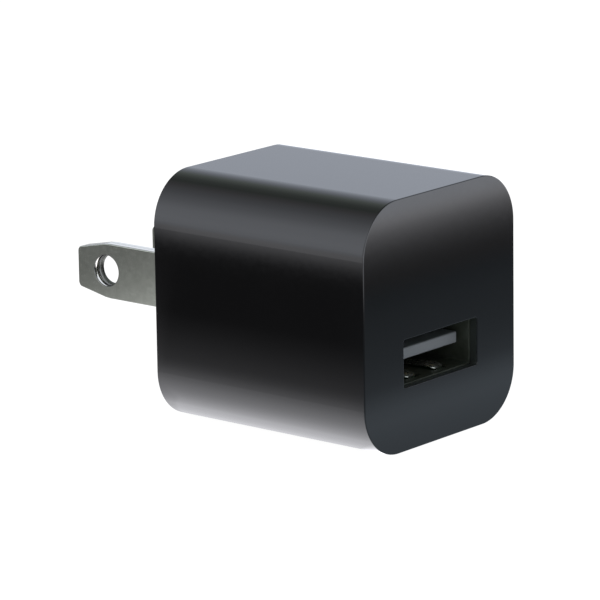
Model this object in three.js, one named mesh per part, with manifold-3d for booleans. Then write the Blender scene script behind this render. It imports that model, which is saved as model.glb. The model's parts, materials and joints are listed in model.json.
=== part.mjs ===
// USB wall charger: a rounded cube housing with a USB-A receptacle in its front face and two fixed flat
// blades behind. Millimetres, +Z up. The origin is the centre of the wall face (the back of the body),
// midway between the blades. +Y runs into the wall along the blades, and the USB face looks along -Y.

import * as THREE from "three";
import { mergeVertices } from "three/addons/utils/BufferGeometryUtils.js";
import Module from "manifold-3d";

const wasm = await Module();
wasm.setup();

// ---------------------------------------------------------------- driving dimensions

const BODY_WIDTH = 26.55;
const BODY_HEIGHT = 28.0;
const BODY_DEPTH = 29.5;
const BODY_DROP = 0.33; // the blades sit this far above the middle of the body
const CORNER_RADIUS = 5.8;
const EDGE_FILLET = 0.1;
const WALL = 1.5;
const MOULDING_GAP = 0.1; // between the housing and the cap that is welded into it
const SEAT_GAP = 0.05; // between faces that rest on each other
const OVERLAP = 0.5; // how far joined solids run into each other

const BLADE_SPACING = 12.7;
const BLADE_WIDTH = 6.35;
const BLADE_THICKNESS = 1.5;
const BLADE_ROOT_THICKNESS = 1.4; // where the blade is coined to fit the cap's slot
const BLADE_LENGTH = 17.35;
const BLADE_HOLE_RADIUS = 1.8;
const BLADE_HOLE_FROM_WALL = 12.87;

const PORT_WIDTH = 13.0;
const PORT_HEIGHT = 5.4;
const PORT_CORNER = 0.3;
const PORT_Z = -4.62;

const SHELL_INNER_WIDTH = 12.5;
const SHELL_INNER_HEIGHT = 5.12;
const SHELL_INNER_CORNER = 0.3;
const SHEET = 0.3; // sheet metal of the USB shell
const SHELL_RECESS = 1.0; // front face of the housing to the rim of the shell

const TONGUE_RECESS = 2.15; // front face of the housing to the tip of the tongue
const TONGUE_WIDTH = 11.1;
const TONGUE_TOP = -3.65;
const TONGUE_BOTTOM = -4.95;

const CONTACT_X = [-3.5, -1.0, 1.0, 3.5];
const CONTACT_WIDTH = 1.0;
const CONTACT_THICKNESS = 0.22;

const BOARD_TOP = -7.55;
const BOARD_THICKNESS = 1.2;

// ---------------------------------------------------------------- derived places

const FRONT_Y = -BODY_DEPTH;
const BODY_Z = -BODY_DROP;
const INNER_FRONT_Y = FRONT_Y + WALL;
const SHELL_FRONT_Y = FRONT_Y + SHELL_RECESS;
const SHELL_BACK_Y = -14.6;
const TONGUE_FRONT_Y = FRONT_Y + TONGUE_RECESS;
const BLOCK_FRONT_Y = -18.0; // front of the insulator block that the tongue grows from
const BLOCK_BACK_Y = -15.9;
const BOARD_BOTTOM = BOARD_TOP - BOARD_THICKNESS;
const SHELL_FLOOR = PORT_Z - SHELL_INNER_HEIGHT / 2;
const RABBET_DEPTH = 2.0; // how deep the cap's plate sits in the housing
const RABBET_INSET = 1.05; // outer face of the housing to the wall of the rabbet

// ---------------------------------------------------------------- materials

function material(colour, roughness, metalness) {
  return new THREE.MeshStandardMaterial({ color: colour, roughness, metalness });
}

const MATERIALS = {
  gloss_black: material(0x0c0c0e, 0.16, 0.0),
  blade_nickel: material(0x9d9c94, 0.32, 1.0),
  shell_nickel: material(0xa9a9a6, 0.3, 1.0),
  contact_bronze: material(0xb98d4d, 0.35, 1.0),
  insulator: material(0x6c7178, 0.5, 0.0),
  board_green: material(0x1f5a35, 0.5, 0.0),
  ferrite: material(0x2b2b2e, 0.7, 0.1),
  bobbin: material(0x1a1a1a, 0.5, 0.0),
  copper: material(0xb4632f, 0.35, 1.0),
  tape_yellow: material(0xd9b53a, 0.45, 0.0),
  sleeve_black: material(0x22252c, 0.4, 0.0),
  sleeve_green: material(0x1d4a40, 0.4, 0.0),
  choke_sleeve: material(0x161616, 0.5, 0.0),
  resistor_body: material(0xa8b79a, 0.6, 0.0),
  ceramic_blue: material(0x2a5fa8, 0.5, 0.0),
  chip_plastic: material(0x17181a, 0.6, 0.0),
  chip_ceramic: material(0x8d7a5c, 0.6, 0.0),
};

// ---------------------------------------------------------------- geometry helpers

const group = new THREE.Group();

function addPart(name, geometry, materialName) {
  const mesh = new THREE.Mesh(geometry, MATERIALS[materialName]);
  mesh.name = name;
  group.add(mesh);
}

// A closed three.js geometry as a manifold-3d solid.
function solid(geometry) {
  const bare = geometry.clone();
  bare.deleteAttribute("normal");
  bare.deleteAttribute("uv");
  const merged = mergeVertices(bare, 1e-4);
  const mesh = new wasm.Mesh({
    numProp: 3,
    vertProperties: merged.attributes.position.array,
    triVerts: new Uint32Array(merged.index.array),
  });
  return new wasm.Manifold(mesh);
}

function geometryOf(manifold) {
  const mesh = manifold.getMesh();
  const geometry = new THREE.BufferGeometry();
  geometry.setAttribute("position", new THREE.BufferAttribute(mesh.vertProperties, 3));
  geometry.setIndex(new THREE.BufferAttribute(mesh.triVerts, 1));
  geometry.computeVertexNormals();
  return geometry;
}

function joined(geometries) {
  return geometries.map(solid).reduce((whole, next) => whole.add(next));
}

function cut(base, tools) {
  return tools.map(solid).reduce((whole, next) => whole.subtract(next), base);
}

// A box between two corners.
function block(x0, x1, y0, y1, z0, z1) {
  const box = new THREE.BoxGeometry(x1 - x0, y1 - y0, z1 - z0);
  return box.translate((x0 + x1) / 2, (y0 + y1) / 2, (z0 + z1) / 2);
}

// A box given by its centre on X and Z, its size there, and its two ends on Y.
function bar(x, z, width, height, yBack, yFront) {
  return block(x - width / 2, x + width / 2, yFront, yBack, z - height / 2, z + height / 2);
}

function roundedRectangle(width, height, radius) {
  const right = width / 2 - radius;
  const top = height / 2 - radius;
  const shape = new THREE.Shape();
  shape.absarc(right, -top, radius, -Math.PI / 2, 0);
  shape.absarc(right, top, radius, 0, Math.PI / 2);
  shape.absarc(-right, top, radius, Math.PI / 2, Math.PI);
  shape.absarc(-right, -top, radius, Math.PI, 1.5 * Math.PI);
  shape.closePath();
  return shape;
}

// A shape drawn in X and Z, extruded along Y from its back end to its front end.
function alongY(shape, yBack, yFront, curveSegments = 10, fillet = 0) {
  const geometry = new THREE.ExtrudeGeometry(shape, {
    depth: yBack - yFront - 2 * fillet,
    curveSegments,
    bevelEnabled: fillet > 0,
    bevelThickness: fillet,
    bevelSize: fillet,
    bevelOffset: -fillet,
    bevelSegments: 3,
  });
  return geometry.rotateX(Math.PI / 2).translate(0, yBack - fillet, 0);
}

// A shape drawn in Y and Z, extruded along X about the middle x.
function alongX(shape, x, width, curveSegments = 8) {
  const geometry = new THREE.ExtrudeGeometry(shape, {
    depth: width,
    curveSegments,
    bevelEnabled: false,
  });
  return geometry
    .rotateX(Math.PI / 2)
    .rotateZ(Math.PI / 2)
    .translate(x - width / 2, 0, 0);
}

// A rounded rectangle centred on the body, extruded along Y.
function bodyPrism(width, height, radius, yBack, yFront, fillet = 0) {
  const shape = roundedRectangle(width, height, radius);
  return alongY(shape, yBack, yFront, 12, fillet).translate(0, 0, BODY_Z);
}

// The body's outline moved inwards by the inset, extruded along Y.
function insetPrism(inset, yBack, yFront) {
  return bodyPrism(
    BODY_WIDTH - 2 * inset,
    BODY_HEIGHT - 2 * inset,
    CORNER_RADIUS - inset,
    yBack,
    yFront,
  );
}

// An upright round post from z0 to z1.
function post(x, y, z0, z1, radius, segments = 8) {
  const cylinder = new THREE.CylinderGeometry(radius, radius, z1 - z0, segments);
  return cylinder.rotateX(Math.PI / 2).translate(x, y, (z0 + z1) / 2);
}

// A closed outline of a bent strip: the curve through the points, thickened to both sides.
function stripOutline(points, thickness, samples) {
  const curve = new THREE.CatmullRomCurve3(
    points.map(([u, v]) => new THREE.Vector3(u, v, 0)),
    false,
    "centripetal",
  );
  const near = [];
  const far = [];
  for (let i = 0; i <= samples; i += 1) {
    const place = curve.getPoint(i / samples);
    const along = curve.getTangent(i / samples);
    const side = new THREE.Vector2(-along.y, along.x).multiplyScalar(thickness / 2);
    near.push(new THREE.Vector2(place.x + side.x, place.y + side.y));
    far.push(new THREE.Vector2(place.x - side.x, place.y - side.y));
  }
  return new THREE.Shape([...near, ...far.reverse()]);
}

// ---------------------------------------------------------------- circuit board holes

const boardHoles = [];
const LEAD_RADIUS = 0.3;
const LEAD_CLEARANCE = 0.12;
const LEAD_END = BOARD_BOTTOM - 0.9; // leads and legs end this far below the board

// A round lead that goes down through the board, and the hole it needs.
function lead(x, y, zTop, radius = LEAD_RADIUS) {
  const above = BOARD_TOP + 1;
  const below = BOARD_BOTTOM - 1;
  boardHoles.push(post(x, y, below, above, radius + LEAD_CLEARANCE));
  return post(x, y, LEAD_END, zTop, radius);
}

// A flat leg that goes down through the board, and the slot it needs.
function leg(x, y, sizeX, sizeY, zTop) {
  const above = BOARD_TOP + 1;
  const below = BOARD_BOTTOM - 1;
  const halfX = sizeX / 2;
  const halfY = sizeY / 2;
  const c = LEAD_CLEARANCE;
  boardHoles.push(
    block(x - halfX - c, x + halfX + c, y - halfY - c, y + halfY + c, below, above),
  );
  return block(x - halfX, x + halfX, y - halfY, y + halfY, LEAD_END, zTop);
}

// ---------------------------------------------------------------- housing

const RAIL_REACH = 0.85;
const RAIL_HEIGHT = 0.8;
const RAIL_BACK_Y = -5.6;

function buildHousing() {
  const outside = bodyPrism(
    BODY_WIDTH,
    BODY_HEIGHT,
    CORNER_RADIUS,
    0,
    FRONT_Y,
    EDGE_FILLET,
  );
  const inside = insetPrism(WALL, 1, INNER_FRONT_Y);
  const rabbet = insetPrism(RABBET_INSET, 1, -RABBET_DEPTH);
  const portShape = roundedRectangle(PORT_WIDTH, PORT_HEIGHT, PORT_CORNER);
  const port = alongY(portShape, INNER_FRONT_Y + 1, FRONT_Y - 1, 3).translate(0, 0, PORT_Z);
  const shellPocket = bar(
    0,
    PORT_Z,
    SHELL_INNER_WIDTH + 2 * (SHEET + MOULDING_GAP),
    SHELL_INNER_HEIGHT + 2 * (SHEET + MOULDING_GAP),
    INNER_FRONT_Y + 1,
    SHELL_FRONT_Y - SEAT_GAP,
  );
  let housing = cut(solid(outside), [inside, rabbet, port, shellPocket]);

  // two rails on each side wall hold the board's edges
  const wallX = BODY_WIDTH / 2 - WALL;
  const railMiddles = [
    BOARD_TOP + MOULDING_GAP + RAIL_HEIGHT / 2,
    BOARD_BOTTOM - MOULDING_GAP - RAIL_HEIGHT / 2,
  ];
  for (const side of [-1, 1]) {
    for (const z of railMiddles) {
      const x = side * (wallX - (RAIL_REACH - OVERLAP) / 2);
      const railWidth = RAIL_REACH + OVERLAP;
      const rail = bar(x, z, railWidth, RAIL_HEIGHT, RAIL_BACK_Y, INNER_FRONT_Y - OVERLAP);
      housing = housing.add(solid(rail));
    }
  }
  addPart("housing", geometryOf(housing), "gloss_black");
}

// ---------------------------------------------------------------- blades and rear cap

const SHOULDER = { half: 3.8, back: -3.5, front: -5.0 };
const TAB = { half: 2.0, front: -9.0 };
const TAPER_START = 12.8;
const TAPER_END = { y: 16.75, half: 2.36 };
const TIP_HALF = 1.75; // half the width of the flat end, inside its rounded corners
const TIP_CORNER_HALF = 2.2; // where the sides of a tip corner would meet
const ROOT_END = 0.3; // the coined root reaches this far out of the wall face

function bladeOutline() {
  const half = BLADE_WIDTH / 2;
  const shape = new THREE.Shape();
  shape.moveTo(TAB.front, -TAB.half);
  shape.lineTo(SHOULDER.front, -TAB.half);
  shape.lineTo(SHOULDER.front, -SHOULDER.half);
  shape.lineTo(SHOULDER.back, -SHOULDER.half);
  shape.lineTo(SHOULDER.back, -half);
  shape.lineTo(TAPER_START, -half);
  shape.lineTo(TAPER_END.y, -TAPER_END.half);
  shape.quadraticCurveTo(BLADE_LENGTH, -TIP_CORNER_HALF, BLADE_LENGTH, -TIP_HALF);
  shape.lineTo(BLADE_LENGTH, TIP_HALF);
  shape.quadraticCurveTo(BLADE_LENGTH, TIP_CORNER_HALF, TAPER_END.y, TAPER_END.half);
  shape.lineTo(TAPER_START, half);
  shape.lineTo(SHOULDER.back, half);
  shape.lineTo(SHOULDER.back, SHOULDER.half);
  shape.lineTo(SHOULDER.front, SHOULDER.half);
  shape.lineTo(SHOULDER.front, TAB.half);
  shape.lineTo(TAB.front, TAB.half);
  shape.closePath();
  const hole = new THREE.Path();
  hole.absarc(BLADE_HOLE_FROM_WALL, 0, BLADE_HOLE_RADIUS, 0, 2 * Math.PI, true);
  shape.holes.push(hole);
  return shape;
}

function buildBlades() {
  for (const [name, side] of [["left_blade", -1], ["right_blade", 1]]) {
    const x = (side * BLADE_SPACING) / 2;
    const blade = solid(alongX(bladeOutline(), x, BLADE_THICKNESS, 12));
    const coined = [-1, 1].map((face) => {
      const skin = x + face * (BLADE_ROOT_THICKNESS / 2 + 0.5);
      return bar(skin, 0, 1, 4 * SHOULDER.half, ROOT_END, TAB.front - 1);
    });
    addPart(name, geometryOf(cut(blade, coined)), "blade_nickel");
  }
}

const SKIRT_FRONT = -5.0;
const SKIRT_WALL = 1.0;
const BOSS = { halfX: 2.0, halfZ: 5.0, front: -6.5 };

function buildRearCap() {
  const plateInset = RABBET_INSET + MOULDING_GAP;
  const skirtInset = WALL + MOULDING_GAP;
  const plate = insetPrism(plateInset, 0, -RABBET_DEPTH + SEAT_GAP);
  const skirtOutside = insetPrism(skirtInset, -RABBET_DEPTH / 2, SKIRT_FRONT);
  const skirtInside = insetPrism(
    skirtInset + SKIRT_WALL,
    -RABBET_DEPTH + SEAT_GAP,
    SKIRT_FRONT - 1,
  );
  let cap = solid(plate).add(cut(solid(skirtOutside), [skirtInside]));
  for (const side of [-1, 1]) {
    const x = (side * BLADE_SPACING) / 2;
    const boss = bar(x, 0, 2 * BOSS.halfX, 2 * BOSS.halfZ, -RABBET_DEPTH / 2, BOSS.front);
    const slotWidth = BLADE_ROOT_THICKNESS + 2 * SEAT_GAP;
    const bladeSlot = bar(x, 0, slotWidth, BLADE_WIDTH + 0.1, 1, SHOULDER.back - 0.5);
    const shoulderRoom = bar(
      x,
      0,
      slotWidth,
      2 * SHOULDER.half + 0.1,
      SHOULDER.back + SEAT_GAP,
      SHOULDER.front - SEAT_GAP,
    );
    const tabSlot = bar(x, 0, slotWidth, 2 * TAB.half + 0.1, SHOULDER.front, BOSS.front - 1);
    cap = cut(cap.add(solid(boss)), [bladeSlot, shoulderRoom, tabSlot]);
  }
  addPart("rear_cap", geometryOf(cap), "gloss_black");
}

// A bent strip stands on the board and presses on the outer face of each blade's tab.
function buildBladeContacts() {
  const thickness = 0.3;
  const middleY = (BOSS.front + TAB.front) / 2;
  const width = 1.8;
  for (const [name, side] of [["left_blade_contact", -1], ["right_blade_contact", 1]]) {
    const tabFace = BLADE_SPACING / 2 + BLADE_ROOT_THICKNESS / 2;
    const touching = tabFace + thickness / 2 + SEAT_GAP;
    const rootX = tabFace + 1.5;
    const points = [
      [rootX, BOARD_TOP + 0.3],
      [rootX, -5.4],
      [rootX - 0.2, -3.8],
      [touching + 0.3, -1.6],
      [touching, -0.4],
      [touching + 0.3, 0.7],
      [touching + 0.9, 1.5],
    ].map(([x, z]) => [side * x, z]);
    const outline = stripOutline(points, thickness, 14);
    const strip = alongY(outline, middleY + width / 2, middleY - width / 2, 1);
    const root = leg(side * rootX, middleY, thickness, width, BOARD_TOP + 0.6);
    addPart(name, geometryOf(joined([strip, root])), "contact_bronze");
  }
}

// ---------------------------------------------------------------- USB receptacle

const FINGER_X = 2.4;
const FINGER_WIDTH = 2.2;
const FINGER_THICKNESS = 0.25;
const FINGER_WINDOW = { width: 2.6, front: -27.6, back: -20.75 };
const SHELL_LEG = { width: 1.6, places: [-23.5, -17.2] };

function buildShell() {
  const width = SHELL_INNER_WIDTH + 2 * SHEET;
  const height = SHELL_INNER_HEIGHT + 2 * SHEET;
  const outsideShape = roundedRectangle(width, height, SHELL_INNER_CORNER + SHEET);
  const insideShape = roundedRectangle(
    SHELL_INNER_WIDTH,
    SHELL_INNER_HEIGHT,
    SHELL_INNER_CORNER,
  );
  const outside = alongY(outsideShape, SHELL_BACK_Y, SHELL_FRONT_Y, 4);
  const inside = alongY(insideShape, SHELL_BACK_Y - SHEET, SHELL_FRONT_Y - 1, 4);
  outside.translate(0, 0, PORT_Z);
  inside.translate(0, 0, PORT_Z);
  // the contacts' tails leave through an opening in the floor, behind the insulator
  const tailOpening = block(
    -5.5,
    5.5,
    BLOCK_BACK_Y,
    SHELL_BACK_Y - SHEET,
    SHELL_FLOOR - 1,
    SHELL_FLOOR + 0.5,
  );
  let shell = cut(solid(outside), [inside, tailOpening]);
  for (const side of [-1, 1]) {
    const { front, back, width: windowWidth } = FINGER_WINDOW;
    const x = side * FINGER_X;
    const window = bar(x, PORT_Z, windowWidth, height + 2, back, front);
    shell = shell.subtract(solid(window));
    const legX = side * (SHELL_INNER_WIDTH / 2 + SHEET / 2);
    for (const y of SHELL_LEG.places) {
      shell = shell.add(solid(leg(legX, y, SHEET, SHELL_LEG.width, PORT_Z)));
    }
  }
  addPart("usb_shell", geometryOf(shell), "shell_nickel");
}

// Each finger is cut out of the shell's sheet: rooted at the back of its window, it rises into the
// mouth and curls back before its free end.
function buildShellFingers() {
  const floorMiddle = SHELL_FLOOR - SHEET / 2;
  const points = [
    [FINGER_WINDOW.back - 0.2, floorMiddle],
    [-21.8, floorMiddle + 0.06],
    [-23.8, floorMiddle + 0.28],
    [-25.7, floorMiddle + 0.42],
    [-26.65, floorMiddle + 0.36],
    [-27.3, floorMiddle + 0.18],
  ];
  const mirrored = points.map(([y, z]) => [y, 2 * PORT_Z - z]);
  for (const [level, line] of [["lower", points], ["upper", mirrored]]) {
    for (const [hand, side] of [["left", -1], ["right", 1]]) {
      const outline = stripOutline(line, FINGER_THICKNESS, 10);
      const finger = alongX(outline, side * FINGER_X, FINGER_WIDTH);
      addPart(`${level}_${hand}_shell_spring`, finger, "shell_nickel");
    }
  }
}

const GROOVE = { width: 1.2, depth: 0.9, front: -26.65 };
const CONTACT_ROOT = { y: -18.3, rise: 0.3 }; // the flexure, above the tongue's underside
const TAIL_WIDTH = 0.8;
const TONGUE_CHAMFER = 0.12;

function buildInsulator() {
  const blockShape = roundedRectangle(
    SHELL_INNER_WIDTH - 2 * SEAT_GAP,
    SHELL_INNER_HEIGHT - 2 * SEAT_GAP,
    SHELL_INNER_CORNER,
  );
  const blockBody = alongY(blockShape, BLOCK_BACK_Y, BLOCK_FRONT_Y, 4).translate(0, 0, PORT_Z);
  const c = TONGUE_CHAMFER;
  const side = new THREE.Shape();
  side.moveTo(TONGUE_FRONT_Y + c, TONGUE_BOTTOM);
  side.lineTo(BLOCK_FRONT_Y + 0.5, TONGUE_BOTTOM);
  side.lineTo(BLOCK_FRONT_Y + 0.5, TONGUE_TOP);
  side.lineTo(TONGUE_FRONT_Y + c, TONGUE_TOP);
  side.lineTo(TONGUE_FRONT_Y, TONGUE_TOP - c);
  side.lineTo(TONGUE_FRONT_Y, TONGUE_BOTTOM + c);
  side.closePath();
  const tongue = alongX(side, 0, TONGUE_WIDTH);
  let insulator = joined([blockBody, tongue]);
  for (const x of CONTACT_X) {
    const groove = block(
      x - GROOVE.width / 2,
      x + GROOVE.width / 2,
      GROOVE.front,
      BLOCK_FRONT_Y + 0.4,
      TONGUE_BOTTOM - 1,
      TONGUE_BOTTOM + GROOVE.depth,
    );
    const slot = block(
      x - GROOVE.width / 2,
      x + GROOVE.width / 2,
      BLOCK_FRONT_Y - 0.1,
      BLOCK_BACK_Y + 1,
      TONGUE_BOTTOM + CONTACT_ROOT.rise - 0.2,
      TONGUE_BOTTOM + CONTACT_ROOT.rise + 0.2,
    );
    insulator = cut(insulator, [groove, slot]);
  }
  addPart("usb_tongue", geometryOf(insulator), "insulator");
}

// The contact's spring beam lies in its groove and bows below the tongue.
function buildUsbContacts() {
  const root = TONGUE_BOTTOM + CONTACT_ROOT.rise;
  const beam = [
    [CONTACT_ROOT.y, root],
    [-20.2, root - 0.16],
    [-22.6, root - 0.5],
    [-24.4, root - 0.76],
    [-25.2, root - 0.72],
    [-25.9, root - 0.36],
    [-26.2, root - 0.12],
  ];
  const tailX = SHELL_BACK_Y - 2 * SHEET - 0.25;
  const tail = [
    [CONTACT_ROOT.y + 0.12, root],
    [-17.0, root],
    [tailX - 0.35, root],
    [tailX, root - 0.35],
    [tailX, root - 1.5],
    [tailX, BOARD_TOP + 0.3],
  ];
  CONTACT_X.forEach((x, i) => {
    const spring = alongX(stripOutline(beam, CONTACT_THICKNESS, 14), x, CONTACT_WIDTH);
    addPart(`usb_contact_spring_${i + 1}`, spring, "contact_bronze");
    const strip = alongX(stripOutline(tail, CONTACT_THICKNESS, 16), x, TAIL_WIDTH);
    const foot = leg(x, tailX, 0.6, CONTACT_THICKNESS, BOARD_TOP + 0.6);
    addPart(`usb_contact_tail_${i + 1}`, geometryOf(joined([strip, foot])), "contact_bronze");
  });
}

// ---------------------------------------------------------------- transformer

const TRANSFORMER = { x: 0, y: -10.0, bottom: -6.5, height: 11.0 };
const CORE = { width: 10.2, thickness: 4.7, leg: 1.3, back: 1.4, centre: 2.4 };

// An E-shaped core half; two of them meet at the middle of the transformer.
function coreHalf(direction) {
  const half = TRANSFORMER.height / 2 - SEAT_GAP / 2;
  const shape = new THREE.Shape();
  const outer = CORE.width / 2;
  const centre = CORE.centre / 2;
  const window = outer - CORE.leg;
  shape.moveTo(-outer, 0);
  shape.lineTo(-window, 0);
  shape.lineTo(-window, half - CORE.back);
  shape.lineTo(-centre, half - CORE.back);
  shape.lineTo(-centre, 0);
  shape.lineTo(centre, 0);
  shape.lineTo(centre, half - CORE.back);
  shape.lineTo(window, half - CORE.back);
  shape.lineTo(window, 0);
  shape.lineTo(outer, 0);
  shape.lineTo(outer, half);
  shape.lineTo(-outer, half);
  shape.closePath();
  const yBack = TRANSFORMER.y + CORE.thickness / 2;
  const core = alongY(shape, yBack, yBack - CORE.thickness, 1).translate(0, 0, SEAT_GAP / 2);
  const middle = TRANSFORMER.bottom + TRANSFORMER.height / 2;
  if (direction < 0) {
    core.translate(0, -TRANSFORMER.y, 0).rotateX(Math.PI).translate(0, TRANSFORMER.y, 0);
  }
  return core.translate(TRANSFORMER.x, 0, middle);
}

// A ring around the core's centre leg, with the bobbin, winding and tape as such rings.
function centreRing(innerX, innerY, outerX, outerY, z0, z1) {
  const { x, y } = TRANSFORMER;
  const outside = block(x - outerX, x + outerX, y - outerY, y + outerY, z0, z1);
  const hole = block(x - innerX, x + innerX, y - innerY, y + innerY, z0 - 1, z1 + 1);
  return cut(solid(outside), [hole]);
}

function buildTransformer() {
  addPart("transformer_core_upper", coreHalf(1), "ferrite");
  addPart("transformer_core_lower", coreHalf(-1), "ferrite");

  const low = TRANSFORMER.bottom + CORE.back + 0.1;
  const high = TRANSFORMER.bottom + TRANSFORMER.height - CORE.back - 0.1;
  const holeX = CORE.centre / 2 + 0.1;
  const holeY = CORE.thickness / 2 + 0.1;
  const flange = 0.6;
  const flangeX = CORE.width / 2 - CORE.leg - 0.1;
  const flangeY = 4.0;
  const tubeX = holeX + 0.4;
  const tubeY = holeY + 0.4;
  let bobbin = centreRing(holeX, holeY, tubeX, tubeY, low, high);
  bobbin = bobbin.add(centreRing(holeX, holeY, flangeX, flangeY, low, low + flange));
  bobbin = bobbin.add(centreRing(holeX, holeY, flangeX, flangeY, high - flange, high));
  // a rail with three pins in front of the core and one behind it
  for (const side of [-1, 1]) {
    const near = TRANSFORMER.y + side * (CORE.thickness / 2 + 0.15);
    const far = TRANSFORMER.y + side * flangeY;
    const yLow = Math.min(near, far);
    const yHigh = Math.max(near, far);
    const rail = block(-flangeX, flangeX, yLow, yHigh, BOARD_TOP + 0.15, low + flange);
    bobbin = bobbin.add(solid(rail));
    for (const x of [-2.6, 0, 2.6]) {
      bobbin = bobbin.add(solid(lead(x, (near + far) / 2, low)));
    }
  }
  addPart("transformer_bobbin", geometryOf(bobbin), "bobbin");

  const clear = 0.06;
  const woundX = flangeX - 0.5;
  const woundY = flangeY - 0.5;
  const from = low + flange + clear;
  const to = high - flange - clear;
  const winding = centreRing(tubeX + clear, tubeY + clear, woundX, woundY, from, to);
  addPart("transformer_winding", geometryOf(winding), "copper");
  const tape = centreRing(woundX + clear, woundY + clear, woundX + 0.3, woundY + 0.3, from, to);
  addPart("transformer_tape", geometryOf(tape), "tape_yellow");
}

// ---------------------------------------------------------------- leaded parts on top of the board

// An electrolytic capacitor that lies along Y over the USB receptacle, its two leads bent down behind.
function lyingCapacitor(name, x, z, radius, length, materialName) {
  const back = -15.4;
  const can = new THREE.CylinderGeometry(radius, radius, length, 24);
  can.translate(x, back - length / 2, z);
  const parts = [can];
  for (const side of [-1, 1]) {
    const leadX = x + side * 1.25;
    parts.push(bar(leadX, z, 0.5, 0.5, -14.15, back - 1));
    parts.push(block(leadX - 0.25, leadX + 0.25, -14.6, -14.1, BOARD_TOP + 0.5, z + 0.25));
    parts.push(lead(leadX, -14.35, BOARD_TOP + 1.0, 0.25));
  }
  addPart(name, geometryOf(joined(parts)), materialName);
}

// An axial part that lies along Y, with a lead bent down at each end.
function axialPart(name, x, yMiddle, radius, length, materialName) {
  const z = BOARD_TOP + 0.3 + radius;
  const body = new THREE.CylinderGeometry(radius, radius, length, 16);
  body.translate(x, yMiddle, z);
  const reach = length / 2 + 0.9;
  const parts = [body, bar(x, z, 0.5, 0.5, yMiddle + reach, yMiddle - reach)];
  for (const side of [-1, 1]) {
    parts.push(lead(x, yMiddle + side * (reach - 0.25), z + 0.2, 0.25));
  }
  addPart(name, geometryOf(joined(parts)), materialName);
}

function buildChoke() {
  const x = -8.3;
  const y = -11.6;
  const bottom = BOARD_TOP + 0.2;
  const profile = [
    [0, bottom],
    [2.1, bottom],
    [2.1, bottom + 0.7],
    [1.85, bottom + 0.8],
    [1.85, bottom + 4.6],
    [2.1, bottom + 4.7],
    [2.1, bottom + 5.4],
    [0, bottom + 5.4],
  ].map(([r, z]) => new THREE.Vector2(r, z));
  const drum = new THREE.LatheGeometry(profile, 20).rotateX(Math.PI / 2).translate(x, y, 0);
  const parts = [drum, lead(x, y - 1.2, bottom + 0.5), lead(x, y + 1.2, bottom + 0.5)];
  addPart("input_choke", geometryOf(joined(parts)), "choke_sleeve");
}

function buildSafetyCapacitor() {
  const x = 8.3;
  const y = -12.3;
  const z = -3.4;
  const profile = [
    [0, -1.4],
    [1.6, -1.4],
    [2.5, -0.8],
    [2.8, 0],
    [2.5, 0.8],
    [1.6, 1.4],
    [0, 1.4],
  ].map(([r, h]) => new THREE.Vector2(r, h));
  const disc = new THREE.LatheGeometry(profile, 20).translate(x, y, z);
  const parts = [disc, lead(x - 1.5, y, z), lead(x + 1.5, y, z)];
  addPart("safety_capacitor", geometryOf(joined(parts)), "ceramic_blue");
}

function buildLeadedParts() {
  lyingCapacitor("input_capacitor_1", -7.1, 2.7, 4.0, 11.8, "sleeve_black");
  lyingCapacitor("input_capacitor_2", 1.1, 2.7, 4.0, 11.8, "sleeve_black");
  lyingCapacitor("output_capacitor", 8.35, 1.9, 3.1, 11.0, "sleeve_green");
  axialPart("fuse_resistor", -8.8, -20.0, 1.5, 8.0, "resistor_body");
  axialPart("output_diode", 8.8, -22.4, 1.35, 5.2, "chip_plastic");
  buildChoke();
  buildSafetyCapacitor();
}

// ---------------------------------------------------------------- chips under the board

// A moulded chip on the underside, with rows of flat leads along two sides.
function leadedChip(name, x, y, sizeX, sizeY, height, leadsPerSide, pitch) {
  const top = BOARD_BOTTOM - SEAT_GAP;
  const body = block(
    x - sizeX / 2,
    x + sizeX / 2,
    y - sizeY / 2,
    y + sizeY / 2,
    top - height,
    top - 0.1,
  );
  const parts = [body];
  for (let i = 0; i < leadsPerSide; i += 1) {
    const leadY = y + (i - (leadsPerSide - 1) / 2) * pitch;
    const reach = sizeX / 2 + 1.0;
    parts.push(block(x - reach, x + reach, leadY - 0.22, leadY + 0.22, top - 0.25, top));
    parts.push(
      block(x - sizeX / 2 - 0.25, x + sizeX / 2 + 0.25, leadY - 0.22, leadY + 0.22, top - 0.9, top),
    );
  }
  addPart(name, geometryOf(joined(parts)), "chip_plastic");
}

// A small ceramic chip with an end cap at each end, on the underside.
function ceramicChip(name, x, y, length, width, height) {
  const top = BOARD_BOTTOM - SEAT_GAP;
  const cap = 0.4;
  const half = length / 2;
  const middle = block(
    x - width / 2 + 0.05,
    x + width / 2 - 0.05,
    y - half,
    y + half,
    top - height + 0.05,
    top - 0.05,
  );
  const parts = [middle];
  for (const side of [-1, 1]) {
    const y0 = side < 0 ? y - half : y + half - cap;
    parts.push(block(x - width / 2, x + width / 2, y0, y0 + cap, top - height, top));
  }
  addPart(name, geometryOf(joined(parts)), "chip_ceramic");
}

function buildChips() {
  leadedChip("bridge_rectifier", 0, -10.0, 3.9, 4.7, 2.4, 2, 2.5);
  leadedChip("controller_chip", -2.8, -20.0, 3.9, 4.9, 1.6, 4, 1.27);
  leadedChip("snubber_diode", 3.5, -19.6, 2.6, 2.8, 1.9, 1, 0);
  ceramicChip("snubber_resistor", 2.0, -24.6, 3.2, 1.6, 0.6);
  ceramicChip("snubber_capacitor", 4.4, -24.6, 3.2, 1.6, 1.2);
  ceramicChip("sense_resistor", -0.5, -24.6, 2.0, 1.25, 0.5);
  ceramicChip("supply_capacitor", -2.5, -24.6, 2.0, 1.25, 1.2);
  ceramicChip("feedback_resistor_upper", -4.2, -24.6, 1.6, 0.8, 0.45);
  ceramicChip("feedback_resistor_lower", -5.4, -24.6, 1.6, 0.8, 0.45);
  ceramicChip("output_filter_capacitor", 8.0, -22.5, 2.0, 1.25, 1.2);
}

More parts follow.
